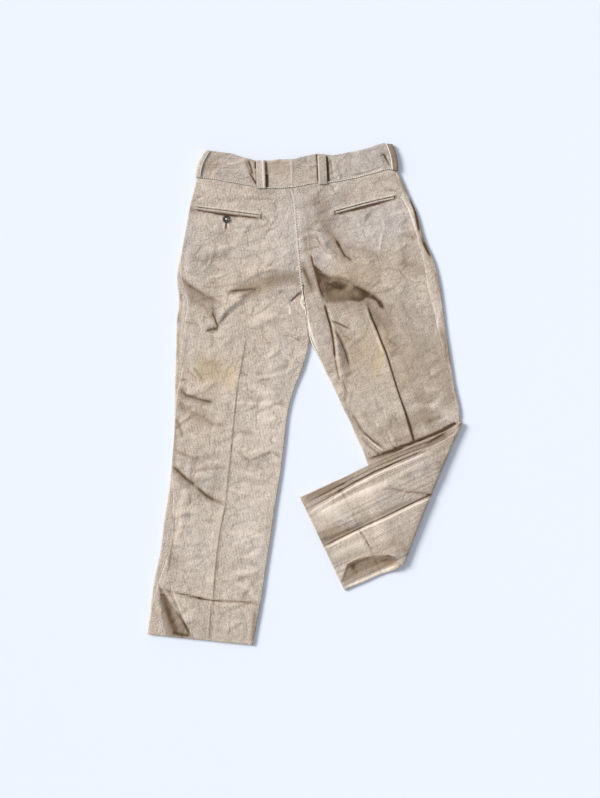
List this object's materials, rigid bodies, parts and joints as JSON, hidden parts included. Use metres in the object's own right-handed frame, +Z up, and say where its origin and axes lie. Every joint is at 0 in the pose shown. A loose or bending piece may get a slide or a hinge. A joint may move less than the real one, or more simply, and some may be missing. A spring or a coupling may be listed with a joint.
{
  "type": "corduroy trousers",
  "caption": "Straight-leg corduroy trousers laid face down, one lower leg folded over at the knee, with waistband, belt loops and buttoned back pocket.",
  "frame": {"origin": "middle of the whole outline as it lies, on the surface it lies on", "axes": "+Y from the hems to the waist, +X to the wearer's right as they lie face down, +Z up from the surface"},
  "size_m": [0.657, 1.052, 0.0168],
  "materials": {
    "corduroy": "wide-wale cotton corduroy, beige, soft matte pile",
    "waistband": "the same corduroy with its ribs running along the band",
    "button": "dark brown, slightly glossy"
  },
  "bodies": {
    "root": {"back_left": "corduroy", "front_left": "corduroy", "back_right": "corduroy", "front_right": "corduroy", "loop_back_left": "corduroy", "loop_back_right": "corduroy", "loop_side_left": "corduroy", "loop_side_right": "corduroy", "loop_front_left": "corduroy", "loop_front_right": "corduroy", "pocket_left_welt_upper": "corduroy", "pocket_left_welt_lower": "corduroy", "pocket_right_welt_upper": "corduroy", "pocket_right_welt_lower": "corduroy", "waistband_left": "waistband", "waistband_right": "waistband", "pocket_button": "button"}
  },
  "joints": []
}
